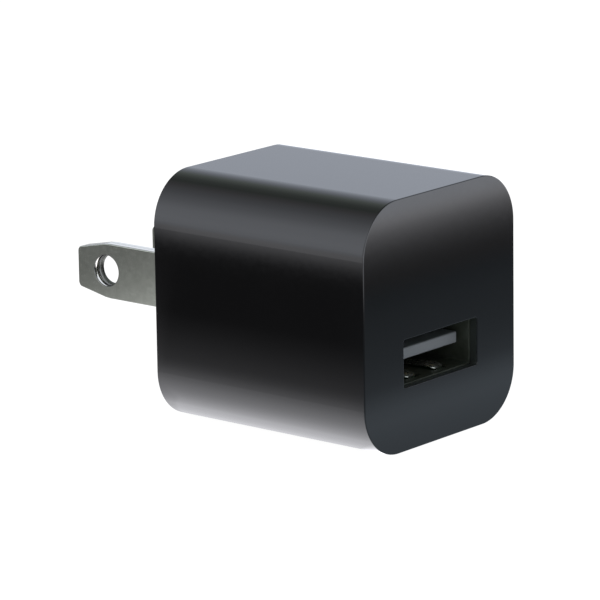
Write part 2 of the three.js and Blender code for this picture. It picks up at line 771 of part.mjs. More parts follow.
// ---------------------------------------------------------------- circuit board

// Built after the parts that stand in it, because their leads decide its holes.
function buildBoard() {
  const board = block(-11.4, 11.4, -27.4, -5.3, BOARD_BOTTOM, BOARD_TOP);
  addPart("circuit_board", geometryOf(cut(solid(board), boardHoles)), "board_green");
}

// ---------------------------------------------------------------- assembly

buildHousing();
buildRearCap();
buildBlades();
buildBladeContacts();
buildShell();
buildShellFingers();
buildInsulator();
buildUsbContacts();
buildTransformer();
buildLeadedParts();
buildChips();
buildBoard();

export default group;
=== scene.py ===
"""The looks of a USB wall charger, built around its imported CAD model.

Sizes in this script are millimetres, and MM turns them into Blender's metres.
"""

import json
import math

import bmesh
import bpy
from mathutils import Matrix, Vector

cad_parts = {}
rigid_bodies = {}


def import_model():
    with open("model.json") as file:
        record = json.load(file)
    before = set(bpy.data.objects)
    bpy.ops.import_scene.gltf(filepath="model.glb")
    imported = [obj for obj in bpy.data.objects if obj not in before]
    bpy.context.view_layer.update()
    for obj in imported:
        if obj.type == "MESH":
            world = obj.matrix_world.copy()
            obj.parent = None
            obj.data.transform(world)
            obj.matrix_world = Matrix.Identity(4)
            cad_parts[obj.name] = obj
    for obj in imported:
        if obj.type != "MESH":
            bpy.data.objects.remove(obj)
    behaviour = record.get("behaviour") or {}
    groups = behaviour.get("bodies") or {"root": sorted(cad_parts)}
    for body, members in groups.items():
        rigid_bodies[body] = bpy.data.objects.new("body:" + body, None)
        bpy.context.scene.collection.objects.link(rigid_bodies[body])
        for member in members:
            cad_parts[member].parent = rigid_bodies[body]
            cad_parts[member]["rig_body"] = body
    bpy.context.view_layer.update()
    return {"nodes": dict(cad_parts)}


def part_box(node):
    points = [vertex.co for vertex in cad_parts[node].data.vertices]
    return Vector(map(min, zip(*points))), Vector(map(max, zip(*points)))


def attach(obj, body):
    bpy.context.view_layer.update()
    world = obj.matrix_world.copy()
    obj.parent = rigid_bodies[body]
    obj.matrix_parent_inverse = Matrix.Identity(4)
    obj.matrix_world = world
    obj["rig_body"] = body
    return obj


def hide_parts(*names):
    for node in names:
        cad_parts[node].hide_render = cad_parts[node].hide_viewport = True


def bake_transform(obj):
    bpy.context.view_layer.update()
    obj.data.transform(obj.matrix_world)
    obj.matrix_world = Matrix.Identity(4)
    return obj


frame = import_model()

MM = 0.001

# ---------------------------------------------------------------- sizes read from the frame


def box_mm(node):
    """A CAD node's lowest and highest corners, in millimetres."""
    low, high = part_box(node)
    return low / MM, high / MM


housing_low, housing_high = box_mm("housing")
BODY_WIDTH = housing_high.x - housing_low.x
BODY_HEIGHT = housing_high.z - housing_low.z
FRONT_Y = housing_low.y
BODY_MIDDLE_Z = (housing_low.z + housing_high.z) / 2
BODY_MIDDLE_Y = FRONT_Y / 2
FLOOR_Z = housing_low.z

# The same driving sizes as the CAD model, in millimetres.
CORNER_RADIUS = 5.8
EDGE_FILLET = 0.1
WALL = 1.5
RABBET_INSET = 1.05
RABBET_DEPTH = 2.0
PORT_WIDTH = 13.0
PORT_HEIGHT = 5.4
PORT_CORNER = 0.3
PORT_Z = -4.62
POCKET_RECESS = 0.95  # front face of the housing to the pocket that holds the USB shell
POCKET_GAP = 0.1  # between the shell and its pocket
SHELL_WIDTH = 13.1
SHELL_HEIGHT = 5.72
SHEET = 0.3  # sheet metal of the USB shell

# ---------------------------------------------------------------- camera

CAMERA_AZIMUTH = math.radians(-50.218)
CAMERA_ELEVATION = math.radians(13.606)
CAMERA_ROLL = math.radians(-0.865)
CAMERA_DISTANCE = 460.5
CAMERA_SLIDE = (-3.865, -0.513)
CAMERA_LENS = 250.0
SENSOR_WIDTH = 36.0


def build_camera():
    """The camera stands left of and above the USB face, as a long lens at half a metre."""
    azimuth, elevation = CAMERA_AZIMUTH, CAMERA_ELEVATION
    back = Vector((
        math.sin(azimuth) * math.cos(elevation),
        -math.cos(azimuth) * math.cos(elevation),
        math.sin(elevation),
    ))
    level_right = Vector((math.cos(azimuth), math.sin(azimuth), 0.0))
    level_up = back.cross(level_right)
    turn = CAMERA_ROLL
    right = level_right * math.cos(turn) + level_up * math.sin(turn)
    up = level_up * math.cos(turn) - level_right * math.sin(turn)
    target = Vector((0.0, BODY_MIDDLE_Y, BODY_MIDDLE_Z))
    place = target + back * CAMERA_DISTANCE + right * CAMERA_SLIDE[0] + up * CAMERA_SLIDE[1]
    data = bpy.data.cameras.new("camera")
    data.lens = CAMERA_LENS
    data.sensor_width = SENSOR_WIDTH
    data.clip_start = 0.01
    data.clip_end = 20.0
    camera = bpy.data.objects.new("camera", data)
    bpy.context.scene.collection.objects.link(camera)
    turned = Matrix((right, up, back)).transposed()
    camera.matrix_world = Matrix.Translation(place * MM) @ turned.to_4x4()
    bpy.context.scene.camera = camera


# ---------------------------------------------------------------- material helpers

BUMP_DISTANCE = 0.02
# Noise scales, in features per metre: slow drift of tone, clouds in plating, and drawing lines.
DRIFT_SCALE = 90.0
CLOUD_SCALE = 1100.0
LINE_SCALE = 2400.0


def new_material(name):
    """A new material with its nodes, its links and its surface shader."""
    material = bpy.data.materials.new(name)
    material.use_nodes = True
    nodes = material.node_tree.nodes
    return material, nodes, material.node_tree.links, nodes["Principled BSDF"]


def ramp_node(nodes, stops):
    """A colour ramp with (position, grey or colour) stops."""
    ramp = nodes.new("ShaderNodeValToRGB")
    elements = ramp.color_ramp.elements
    while len(elements) < len(stops):
        elements.new(0.5)
    for element, (position, value) in zip(elements, stops):
        element.position = position
        colour = value if isinstance(value, tuple) else (value, value, value)
        element.color = (*colour, 1.0)
    return ramp


def noise_node(nodes, links, coordinates, scale, detail, stretch=(1.0, 1.0, 1.0)):
    """Noise in object space, with its coordinates stretched along the axes."""
    mapping = nodes.new("ShaderNodeMapping")
    mapping.inputs["Scale"].default_value = stretch
    links.new(coordinates, mapping.inputs["Vector"])
    noise = nodes.new("ShaderNodeTexNoise")
    noise.inputs["Scale"].default_value = scale
    noise.inputs["Detail"].default_value = detail
    links.new(mapping.outputs["Vector"], noise.inputs["Vector"])
    return noise.outputs["Fac"]


def object_coordinates(nodes):
    return nodes.new("ShaderNodeTexCoord").outputs["Object"]


def add_bump(nodes, links, shader, height, strength):
    bump = nodes.new("ShaderNodeBump")
    bump.inputs["Strength"].default_value = strength
    bump.inputs["Distance"].default_value = BUMP_DISTANCE * MM
    links.new(height, bump.inputs["Height"])
    links.new(bump.outputs["Normal"], shader.inputs["Normal"])


def calculator(nodes, links):
    """A function that adds a math node and gives its output."""

    def add(operation, first, second=0.0):
        node = nodes.new("ShaderNodeMath")
        node.operation = operation
        for socket, value in zip(node.inputs, (first, second)):
            if isinstance(value, float):
                socket.default_value = value
            else:
                links.new(value, socket)
        return node.outputs["Value"]

    return add


def mix_node(nodes, links, share, first, second):
    """A blend of two colours, each a socket or a fixed colour."""
    mix = nodes.new("ShaderNodeMix")
    mix.data_type = "RGBA"
    links.new(share, mix.inputs["Factor"])
    for socket, value in ((mix.inputs[6], first), (mix.inputs[7], second)):
        if isinstance(value, tuple):
            socket.default_value = (*value, 1.0)
        else:
            links.new(value, socket)
    return mix.outputs[2]


def overlay(nodes, links, shader, mask, tone, roughness):
    """Replaces a material's colour and roughness where the mask is 1."""
    colour = shader.inputs["Base Color"].links[0].from_socket
    links.new(mix_node(nodes, links, mask, colour, tone), shader.inputs["Base Color"])
    gloss = shader.inputs["Roughness"].links[0].from_socket
    level = (roughness, roughness, roughness)
    links.new(mix_node(nodes, links, mask, gloss, level), shader.inputs["Roughness"])


def plastic(name, dark, light, rough_low, rough_high, grain, bump, specular=0.5):
    """Moulded plastic: colour drifts between two tones, and roughness and bump follow a fine grain."""
    material, nodes, links, shader = new_material(name)
    coordinates = object_coordinates(nodes)
    drift = noise_node(nodes, links, coordinates, DRIFT_SCALE, 2.0)
    tone = ramp_node(nodes, [(0.3, dark), (0.7, light)])
    links.new(drift, tone.inputs["Fac"])
    links.new(tone.outputs["Color"], shader.inputs["Base Color"])
    fine = noise_node(nodes, links, coordinates, grain, 4.0)
    roughness = ramp_node(nodes, [(0.3, rough_low), (0.7, rough_high)])
    links.new(fine, roughness.inputs["Fac"])
    links.new(roughness.outputs["Color"], shader.inputs["Roughness"])
    add_bump(nodes, links, shader, fine, bump)
    shader.inputs["Specular IOR Level"].default_value = specular
    return material


def metal(name, dark, light, rough_low, rough_high, stretch, bump, metallic=1.0):
    """Plated metal: fine grain or drawing lines along the strip, cloudy plating tone."""
    material, nodes, links, shader = new_material(name)
    coordinates = object_coordinates(nodes)
    cloud = noise_node(nodes, links, coordinates, CLOUD_SCALE, 5.0)
    tone = ramp_node(nodes, [(0.32, dark), (0.68, light)])
    links.new(cloud, tone.inputs["Fac"])
    links.new(tone.outputs["Color"], shader.inputs["Base Color"])
    lines = noise_node(nodes, links, coordinates, LINE_SCALE, 3.0, stretch)
    roughness = ramp_node(nodes, [(0.3, rough_low), (0.7, rough_high)])
    links.new(lines, roughness.inputs["Fac"])
    links.new(roughness.outputs["Color"], shader.inputs["Roughness"])
    shader.inputs["Metallic"].default_value = metallic
    add_bump(nodes, links, shader, lines, bump)
    return material


# ---------------------------------------------------------------- materials


def make_materials():
    return {
        "gloss_black": plastic(
            "gloss_black", (0.0016, 0.0016, 0.0018), (0.0022, 0.0022, 0.0025), 0.05, 0.08, 1500.0, 0.015
        ),
        "cap_black": plastic(
            "cap_black", (0.006, 0.006, 0.007), (0.009, 0.009, 0.010), 0.32, 0.42, 2600.0, 0.25
        ),
        "blade_nickel": metal(
            "blade_nickel",
            (0.59, 0.62, 0.54),
            (0.67, 0.70, 0.615),
            0.10,
            0.15,
            (1.0, 0.5, 1.0),
            0.16,
        ),
        # Painted shade: the shell's nickel is darkened, so its rim and the inside of the opening read
        # dark.
        "shell_nickel": metal(
            "shell_nickel",
            (0.07, 0.085, 0.065),
            (0.095, 0.11, 0.09),
            0.30,
            0.40,
            (1.0, 0.5, 1.0),
            0.06,
            0.6,
        ),
        # Painted highlight: a brighter copy of the shell's nickel, so the fingers' tips glint.
        "finger_nickel_painted_highlight": metal(
            "finger_nickel_painted_highlight",
            (0.34, 0.36, 0.32),
            (0.44, 0.46, 0.42),
            0.24,
            0.34,
            (1.0, 0.5, 1.0),
            0.10,
            0.9,
        ),
        "contact_bronze": metal(
            "contact_bronze",
            (0.72, 0.50, 0.24),
            (0.85, 0.64, 0.34),
            0.20,
            0.34,
            (1.0, 0.1, 1.0),
            0.12,
        ),
        "insulator": plastic(
            "insulator", (0.155, 0.172, 0.188), (0.195, 0.212, 0.232), 0.38, 0.5, 3000.0, 0.15, 0.3
        ),
        "board_green": plastic(
            "board_green", (0.015, 0.085, 0.03), (0.03, 0.13, 0.05), 0.35, 0.5, 1800.0, 0.2
        ),
        "ferrite": plastic(
            "ferrite", (0.025, 0.025, 0.028), (0.06, 0.06, 0.064), 0.6, 0.8, 2600.0, 0.5
        ),
        "bobbin": plastic(
            "bobbin", (0.010, 0.010, 0.010), (0.020, 0.020, 0.020), 0.4, 0.55, 2000.0, 0.2
        ),
        "copper": metal(
            "copper", (0.55, 0.20, 0.09), (0.75, 0.33, 0.16), 0.25, 0.40, (0.3, 0.3, 9.0), 0.9
        ),
        "tape_yellow": plastic(
            "tape_yellow", (0.62, 0.38, 0.03), (0.78, 0.52, 0.06), 0.28, 0.42, 1200.0, 0.25
        ),
        "sleeve_black": plastic(
            "sleeve_black", (0.015, 0.018, 0.026), (0.026, 0.03, 0.04), 0.25, 0.38, 900.0, 0.2
        ),
        "sleeve_green": plastic(
            "sleeve_green", (0.010, 0.06, 0.045), (0.018, 0.09, 0.065), 0.25, 0.38, 900.0, 0.2
        ),
        "choke_sleeve": plastic(
            "choke_sleeve", (0.012, 0.012, 0.012), (0.028, 0.028, 0.028), 0.35, 0.5, 1100.0, 0.3
        ),
        "resistor_body": plastic(
            "resistor_body", (0.32, 0.42, 0.27), (0.42, 0.52, 0.35), 0.45, 0.6, 1700.0, 0.3
        ),
        "ceramic_blue": plastic(
            "ceramic_blue", (0.02, 0.09, 0.34), (0.04, 0.14, 0.46), 0.3, 0.45, 1500.0, 0.3
        ),
        "chip_plastic": plastic(
            "chip_plastic", (0.008, 0.008, 0.009), (0.018, 0.018, 0.019), 0.5, 0.65, 3600.0, 0.4
        ),
        "chip_ceramic": plastic(
            "chip_ceramic", (0.24, 0.17, 0.10), (0.34, 0.26, 0.16), 0.4, 0.6, 2600.0, 0.3
        ),
    }


# ---------------------------------------------------------------- mesh helpers

SHARP_ANGLE = 40.0
ARC_STEPS = 24
ARC_SUPPORT = 0.05  # how far past an arc's end its supporting point lies
SUPPORT = 0.08  # how close a supporting ring lies to a rounded edge


def outline(width, height, radius, middle_z):
    """A rounded rectangle in X and Z, anticlockwise, with a supporting point past each end of its arcs."""
    support = min(ARC_SUPPORT, radius / 4)
    points = []
    corners = [(1, -1, -90), (1, 1, 0), (-1, 1, 90), (-1, -1, 180)]
    for sign_x, sign_z, start in corners:
        centre_x = sign_x * (width / 2 - radius)
        centre_z = sign_z * (height / 2 - radius)
        arc = []
        for i in range(ARC_STEPS + 1):
            angle = math.radians(start + 90 * i / ARC_STEPS)
            arc.append((centre_x + radius * math.cos(angle), centre_z + radius * math.sin(angle)))
        first, last = math.radians(start), math.radians(start + 90)
        before = (
            arc[0][0] + support * math.sin(first),
            arc[0][1] - support * math.cos(first),
        )
        after = (
            arc[-1][0] - support * math.sin(last),
            arc[-1][1] + support * math.cos(last),
        )
        points += [before, *arc, after]
    return [(x, z + middle_z) for x, z in points]


def body_outline(inset):
    """The body's section, shrunk by an inset."""
    return outline(
        BODY_WIDTH - 2 * inset,
        BODY_HEIGHT - 2 * inset,
        CORNER_RADIUS - inset,
        BODY_MIDDLE_Z,
    )


def mesh_object(name, vertices_mm, faces, material, sharp_angle=SHARP_ANGLE):
    """An object from millimetre vertices, with its faces turned outwards."""
    mesh = bpy.data.meshes.new(name)
    mesh.from_pydata([Vector(v) * MM for v in vertices_mm], [], faces)
    work = bmesh.new()
    work.from_mesh(mesh)
    bmesh.ops.recalc_face_normals(work, faces=work.faces)
    work.to_mesh(mesh)
    work.free()
    piece = bpy.data.objects.new(name, mesh)
    bpy.context.scene.collection.objects.link(piece)
    mesh.materials.append(material)
    shade(piece, sharp_angle)
    return piece


def shade(piece, sharp_angle=SHARP_ANGLE):
    """Smooth shading that keeps sharp edges and flat faces."""
    piece.data.polygons.foreach_set("use_smooth", [True] * len(piece.data.polygons))
    piece.data.set_sharp_from_angle(angle=math.radians(sharp_angle))
    weighted = piece.modifiers.new("normals", "WEIGHTED_NORMAL")
    weighted.keep_sharp = True
    weighted.weight = 90


def loft(name, rings, material, closed=False, sharp_angle=SHARP_ANGLE):
    """A skin over rings of equally many points: capped at both ends, or closed back on its first ring."""
    count = len(rings[0])
    vertices = [point for ring in rings for point in ring]
    faces = []
    spans = len(rings) if closed else len(rings) - 1
    for r in range(spans):
        here = r * count
        there = ((r + 1) % len(rings)) * count
        for i in range(count):
            j = (i + 1) % count
            faces.append((here + i, here + j, there + j, there + i))
    if not closed:
        faces.append(tuple(range(count)))
        faces.append(tuple(range((len(rings) - 1) * count, len(rings) * count)))
    return mesh_object(name, vertices, faces, material, sharp_angle)


def at_y(points, y):
    """An outline in X and Z, placed at one Y."""
    return [(x, y, z) for x, z in points]


def fillet_steps(radius, count):
    """(inset, depth) pairs along a quarter round, from the flat end to the side."""
    steps = []
    for i in range(count + 1):
        angle = math.pi / 2 * i / count
        steps.append((radius * (1 - math.sin(angle)), radius * (1 - math.cos(angle))))
    return steps


def apply_boolean(piece, cutter):
    """Cuts the cutter out of the piece and removes it."""
    modifier = piece.modifiers.new("cut", "BOOLEAN")
    modifier.operation = "DIFFERENCE"
    modifier.solver = "EXACT"
    modifier.object = cutter
    bake_modifiers(piece)
    bpy.data.objects.remove(cutter)


def bake_modifiers(piece):
    """Writes the piece's modifiers into its mesh."""
    graph = bpy.context.evaluated_depsgraph_get()
    graph.update()
    made = bpy.data.meshes.new_from_object(piece.evaluated_get(graph))
    old = piece.data
    piece.modifiers.clear()
    piece.data = made
    bpy.data.meshes.remove(old)


# ---------------------------------------------------------------- housing

PORT_FILLET = 0.06
RIM_CHAMFER = 0.06  # on the inner edge of the back rim
# Painted light: the opening's walls get a lighter colour than the gloss black around them.
PORT_WALL_PAINTED_LIGHT = (0.015, 0.019, 0.017)
PORT_WALL_ROUGHNESS = 0.5


def build_housing(material):
    """The one-piece cup: a closed skin that runs from its back rim over the outside, through the
    port and back along the inside."""
    rings = []
    for inset, depth in fillet_steps(EDGE_FILLET, 6):
        rings.append(at_y(body_outline(inset), -depth))
    rings.append(at_y(body_outline(0.0), -EDGE_FILLET - SUPPORT))
    rings.append(at_y(body_outline(0.0), BODY_MIDDLE_Y))
    rings.append(at_y(body_outline(0.0), FRONT_Y + EDGE_FILLET + SUPPORT))
    for inset, depth in reversed(fillet_steps(EDGE_FILLET, 6)):
        rings.append(at_y(body_outline(inset), FRONT_Y + depth))
    rings.append(at_y(body_outline(EDGE_FILLET + SUPPORT), FRONT_Y))

    def port(grow):
        return outline(
            PORT_WIDTH + 2 * grow, PORT_HEIGHT + 2 * grow, PORT_CORNER + grow, PORT_Z
        )

    rings.append(at_y(port(PORT_FILLET + SUPPORT), FRONT_Y))
    for inset, depth in fillet_steps(PORT_FILLET, 4):
        rings.append(at_y(port(inset), FRONT_Y + depth))
    pocket_y = FRONT_Y + POCKET_RECESS
    rings.append(at_y(port(0.0), pocket_y))
    pocket = outline(
        SHELL_WIDTH + 2 * POCKET_GAP, SHELL_HEIGHT + 2 * POCKET_GAP, PORT_CORNER, PORT_Z
    )
    rings.append(at_y(pocket, pocket_y))
    rings.append(at_y(pocket, FRONT_Y + WALL))
    rings.append(at_y(body_outline(WALL), FRONT_Y + WALL))
    rings.append(at_y(body_outline(WALL), -RABBET_DEPTH))
    rings.append(at_y(body_outline(RABBET_INSET), -RABBET_DEPTH))
    rings.append(at_y(body_outline(RABBET_INSET), -RIM_CHAMFER))
    rings.append(at_y(body_outline(RABBET_INSET - RIM_CHAMFER), 0.0))
    piece = loft("housing_skin", rings, material, closed=True)
    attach(piece, "charger")
    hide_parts("housing")


def dull_port_walls_and_paint_light(material):
    """The walls of the moulded opening are dull, unlike the polished outside, and their colour is
    lightened with painted light.
    """
    nodes, links = material.node_tree.nodes, material.node_tree.links
    add = calculator(nodes, links)
    place = nodes.new("ShaderNodeSeparateXYZ")
    links.new(object_coordinates(nodes), place.inputs["Vector"])
    sideways = add("ABSOLUTE", place.outputs["X"])
    upwards = add("ABSOLUTE", add("SUBTRACT", place.outputs["Z"], PORT_Z * MM))
    margin = 0.05
    in_width = add("LESS_THAN", sideways, (PORT_WIDTH / 2 + margin) * MM)
    in_height = add("LESS_THAN", upwards, (PORT_HEIGHT / 2 + margin) * MM)
    behind_rim = add("GREATER_THAN", place.outputs["Y"], (FRONT_Y + SUPPORT) * MM)
    mask = add("MULTIPLY", add("MULTIPLY", in_width, in_height), behind_rim)
    overlay(nodes, links, nodes["Principled BSDF"], mask, PORT_WALL_PAINTED_LIGHT, PORT_WALL_ROUGHNESS)


# ---------------------------------------------------------------- CAD parts refined in place

MERGE_DISTANCE = 0.001
FLAT_ANGLE = 1.0  # facets that meet at less than this are one face
BEVEL_ANGLE = 35.0  # edges sharper than this are rounded
BEVEL_SEGMENTS = 2


def refined(node, name, material, bevel):
    """The CAD node's own shape with its facets merged and its edges rounded."""
    source = frame["nodes"][node]
    mesh = source.data.copy()
    work = bmesh.new()
    work.from_mesh(mesh)
    bmesh.ops.remove_doubles(work, verts=work.verts, dist=MERGE_DISTANCE * MM)
    bmesh.ops.dissolve_limit(
        work,
        angle_limit=math.radians(FLAT_ANGLE),
        verts=work.verts,
        edges=work.edges,
    )
    work.to_mesh(mesh)
    work.free()
    mesh.materials.clear()
    mesh.materials.append(material)
    piece = bpy.data.objects.new(name, mesh)
    bpy.context.scene.collection.objects.link(piece)
    if bevel > 0:
        modifier = piece.modifiers.new("bevel", "BEVEL")
        modifier.width = bevel * MM
        modifier.segments = BEVEL_SEGMENTS
        modifier.limit_method = "ANGLE"
        modifier.angle_limit = math.radians(BEVEL_ANGLE)
        modifier.use_clamp_overlap = True
        bake_modifiers(piece)
    shade(piece)
    body = source["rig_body"]
    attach(piece, body)
    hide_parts(node)


# ---------------------------------------------------------------- blades

BLADE_SPACING = 12.7
BLADE_HALF_WIDTH = 3.175
BLADE_HALF_THICKNESS = 0.75
BLADE_LENGTH = 17.35
BLADE_HOLE_RADIUS = 1.8
BLADE_HOLE_Y = 12.87
HOLE_SIDES = 64
SHOULDER = {"half": 3.8, "back": -3.5, "front": -5.0}
TAB = {"half": 2.0, "front": -9.0}
TAPER_START = 12.8
TAPER_EASE = 0.35  # how far before and after its start the taper is eased
TAPER_END = {"y": 16.75, "half": 2.36}
TIP_HALF = 1.75
TIP_CORNER_HALF = 2.2  # where the sides of a tip corner would meet
NOSE = 0.3  # how far the fold at the tip curves back
FOLD_DEPTH = 0.6  # the stretch of the tip that the fold takes up
EDGE_EASE = 0.1
SEAM_HALF = 0.03
SEAM_DEPTH = 0.03
# Painted light on the blades' edges: a painted highlight on the cut edge and painted shade on its rounded
# rims.
PAINTED_EDGE_HIGHLIGHT = (0.92, 0.89, 0.82)
PAINTED_RIM_SHADE = (0.10, 0.10, 0.10)
# The inner layer's wall inside the hole is darker and rougher.
INNER_HOLE_WALL_TONE = (0.15, 0.155, 0.14)
INNER_HOLE_WALL_ROUGHNESS = 0.45


def curve_points(start, control, end, count):
    """Points on a quadratic curve, without its start."""
    points = []
    for i in range(1, count + 1):
        t = i / count
        points.append(tuple(
            (1 - t) ** 2 * start[k] + 2 * t * (1 - t) * control[k] + t**2 * end[k]
            for k in range(2)
        ))
    return points


def blade_outline():
    """The blade in Y and Z: tab, shoulder, straight sides, tapered and rounded tip."""
    half = BLADE_HALF_WIDTH
    upper = [
        (TAB["front"], TAB["half"]),
        (SHOULDER["front"], TAB["half"]),
        (SHOULDER["front"], SHOULDER["half"]),
        (SHOULDER["back"], SHOULDER["half"]),
        (SHOULDER["back"], half),
        (4.0, half),
        (TAPER_START - TAPER_EASE, half),
        (TAPER_START + TAPER_EASE, half - 0.07),
        (TAPER_END["y"], TAPER_END["half"]),
    ]
    start = upper[-1]
    upper += curve_points(start, (BLADE_LENGTH, TIP_CORNER_HALF), (BLADE_LENGTH, TIP_HALF), 8)
    upper.append((BLADE_LENGTH, TIP_HALF * 0.5))
    lower = [(y, -z) for y, z in reversed(upper)]
    return upper + [(BLADE_LENGTH, 0.0)] + lower


def inward(points):
    """Unit vectors that point into an outline at each of its points, scaled at its corners."""
    count = len(points)
    result = []
    for i in range(count):
        before = Vector(points[i - 1])
        here = Vector(points[i])
        after = Vector(points[(i + 1) % count])
        a = (here - before).normalized()
        b = (after - here).normalized()
        normal_a = Vector((a.y, -a.x))
        normal_b = Vector((b.y, -b.x))
        total = normal_a + normal_b
        scale = 2.0 / max(total.length_squared, 0.5)
        result.append(total * scale)
    return result


def smooth_step(value, low, high):
    """0 below low, 1 above high, and an eased rise between them."""
    t = min(max((value - low) / (high - low), 0.0), 1.0)
    return t * t * (3 - 2 * t)


def build_blade(name, side, material):
    """A blade folded double from sheet: a round fold at its tip, and a fine seam between its two
    layers along its edges and inside its hole."""
    points = blade_outline()
    directions = inward(points)
    half = BLADE_HALF_THICKNESS
    layers = [
        (-half, EDGE_EASE),
        (-half + EDGE_EASE * 0.3, EDGE_EASE * 0.3),
        (-half + EDGE_EASE, 0.0),
        (-half * 0.5, 0.0),
        (-SEAM_HALF, 0.0),
        (-SEAM_HALF * 0.4, SEAM_DEPTH),
    ]
    layers += [(-x, inset) for x, inset in reversed(layers)]
    rings = []
    for x, inset in layers:
        ring = []
        for (y, z), direction in zip(points, directions):
            fold = smooth_step(y, BLADE_LENGTH - FOLD_DEPTH, BLADE_LENGTH)
            amount = inset * (1 - fold)
            nose = (1 - math.sqrt(max(1 - (x / half) ** 2, 0.0))) * NOSE * fold
            ring.append((
                side * BLADE_SPACING / 2 + x,
                y + direction.x * amount - nose,
                z + direction.y * amount,
            ))
        rings.append(ring)
    piece = loft(name, rings, material)
    apply_boolean(piece, hole_cutter(side, material))
    shade(piece)
    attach(piece, "charger")
    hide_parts(name.replace("_sheet", ""))


def hole_cutter(side, material):
    """A spool that cuts the hole with eased rims, a seam line round its middle and an inner layer
    that narrows towards the other blade."""
    half = BLADE_HALF_THICKNESS
    radius = BLADE_HOLE_RADIUS
    profile = [
        (-half - 0.3, radius + 0.37),
        (-half + 0.01, radius + 0.06),
        (-half + 0.05, radius + 0.015),
        (-half + 0.10, radius),
        (-0.14, radius),
        (-0.09, radius + 0.16),
        (0.09, radius + 0.16),
        (0.14, radius),
        (half - 0.10, radius - 0.14),
        (half - 0.05, radius - 0.125),
        (half - 0.01, radius - 0.08),
        (half + 0.3, radius + 0.23),
    ]
    rings = []
    for x, r in profile:
        ring = []
        for i in range(HOLE_SIDES):
            angle = 2 * math.pi * i / HOLE_SIDES
            ring.append((
                side * (BLADE_SPACING / 2 - x),
                BLADE_HOLE_Y + r * math.cos(angle),
                r * math.sin(angle),
            ))
        rings.append(ring)
    return loft("hole_cutter", rings, material)


def paint_blade_edge_light(material):
    """Painted light on the blades, picked by which way a face turns: a painted highlight along the cut
    edge, between two rims of painted shade. Inside the hole, the inner layer's wall is darker and rougher."""
    nodes, links = material.node_tree.nodes, material.node_tree.links
    shader = nodes["Principled BSDF"]
    add = calculator(nodes, links)
    coordinates = nodes.new("ShaderNodeTexCoord")
    facing = nodes.new("ShaderNodeSeparateXYZ")
    links.new(coordinates.outputs["Normal"], facing.inputs["Vector"])
    place = nodes.new("ShaderNodeSeparateXYZ")
    links.new(coordinates.outputs["Object"], place.inputs["Vector"])
    sideways = add("ABSOLUTE", facing.outputs["X"])
    painted_edge_light = ramp_node(nodes, [(0.0, PAINTED_EDGE_HIGHLIGHT), (0.25, PAINTED_EDGE_HIGHLIGHT), (0.45, PAINTED_RIM_SHADE)])
    links.new(sideways, painted_edge_light.inputs["Fac"])
    on_face = ramp_node(nodes, [(0.0, 0.0), (0.88, 0.0), (0.98, 1.0)])
    links.new(sideways, on_face.inputs["Fac"])
    plating = shader.inputs["Base Color"].links[0].from_socket
    edge_light_colour = mix_node(
        nodes, links, on_face.outputs["Color"], painted_edge_light.outputs["Color"], plating
    )
    along = add("SUBTRACT", place.outputs["Y"], BLADE_HOLE_Y * MM)
    height = place.outputs["Z"]
    squares = add("ADD", add("MULTIPLY", along, along), add("MULTIPLY", height, height))
    in_hole = add("LESS_THAN", add("SQRT", squares), (BLADE_HOLE_RADIUS + 0.01) * MM)
    inner_layer = add("LESS_THAN", add("ABSOLUTE", place.outputs["X"]), BLADE_SPACING / 2 * MM)
    inner_hole_wall = add("MULTIPLY", in_hole, inner_layer)
    links.new(edge_light_colour, shader.inputs["Base Color"])
    overlay(nodes, links, shader, inner_hole_wall, INNER_HOLE_WALL_TONE, INNER_HOLE_WALL_ROUGHNESS)


# ---------------------------------------------------------------- USB springs

TONGUE_BOTTOM = -4.95
CONTACT_X = (-3.5, -1.0, 1.0, 3.5)
CONTACT_ROOT = (-18.3, TONGUE_BOTTOM + 0.3)
CONTACT_THICKNESS = 0.2
FINGER_X = 2.4
FINGER_THICKNESS = 0.24
STRIP_SHARP_ANGLE = 50.0


def spline(points, samples):
    """Points at even steps along a Catmull-Rom curve through 2-D points."""
    ends = [points[0], *points, points[-1]]
    result = []
    for i in range(samples + 1):
        at = i / samples * (len(points) - 1)
        k = min(int(at), len(points) - 2)
        t = at - k
        p0, p1, p2, p3 = (Vector(ends[k + j]) for j in range(4))
        place = 0.5 * (
            2 * p1
            + (p2 - p0) * t
            + (2 * p0 - 5 * p1 + 4 * p2 - p3) * t**2
            + (3 * p1 - p0 - 3 * p2 + p3) * t**3
        )
        result.append(place)
    return result


def build_strip(name, line, x, widths, thickness, material, samples):
    """A bent sheet strip: its centreline in Y and Z, with a width for each given share of its length."""
    places = spline(line, samples)
    rings = []
    edge = thickness * 0.25
    for i, place in enumerate(places):
        before = places[max(i - 1, 0)]
        after = places[min(i + 1, samples)]
        along = (after - before).normalized()
        side = Vector((-along.y, along.x))
        share = i / samples
        width = widths[-1][1]
        for (s0, w0), (s1, w1) in zip(widths, widths[1:]):
            if s0 <= share <= s1:
                width = w0 + (w1 - w0) * (share - s0) / (s1 - s0)
        half_w = width / 2
        half_t = thickness / 2
        section = [
            (-half_w + edge, -half_t), (half_w - edge, -half_t),
            (half_w, -half_t + edge), (half_w, half_t - edge),
            (half_w - edge, half_t), (-half_w + edge, half_t),
            (-half_w, half_t - edge), (-half_w, -half_t + edge),
        ]
        ring = []
        for across, through in section:
            point = place + side * through
            ring.append((x + across, point.x, point.y))
        rings.append(ring)
    return loft(name, rings, material, sharp_angle=STRIP_SHARP_ANGLE)


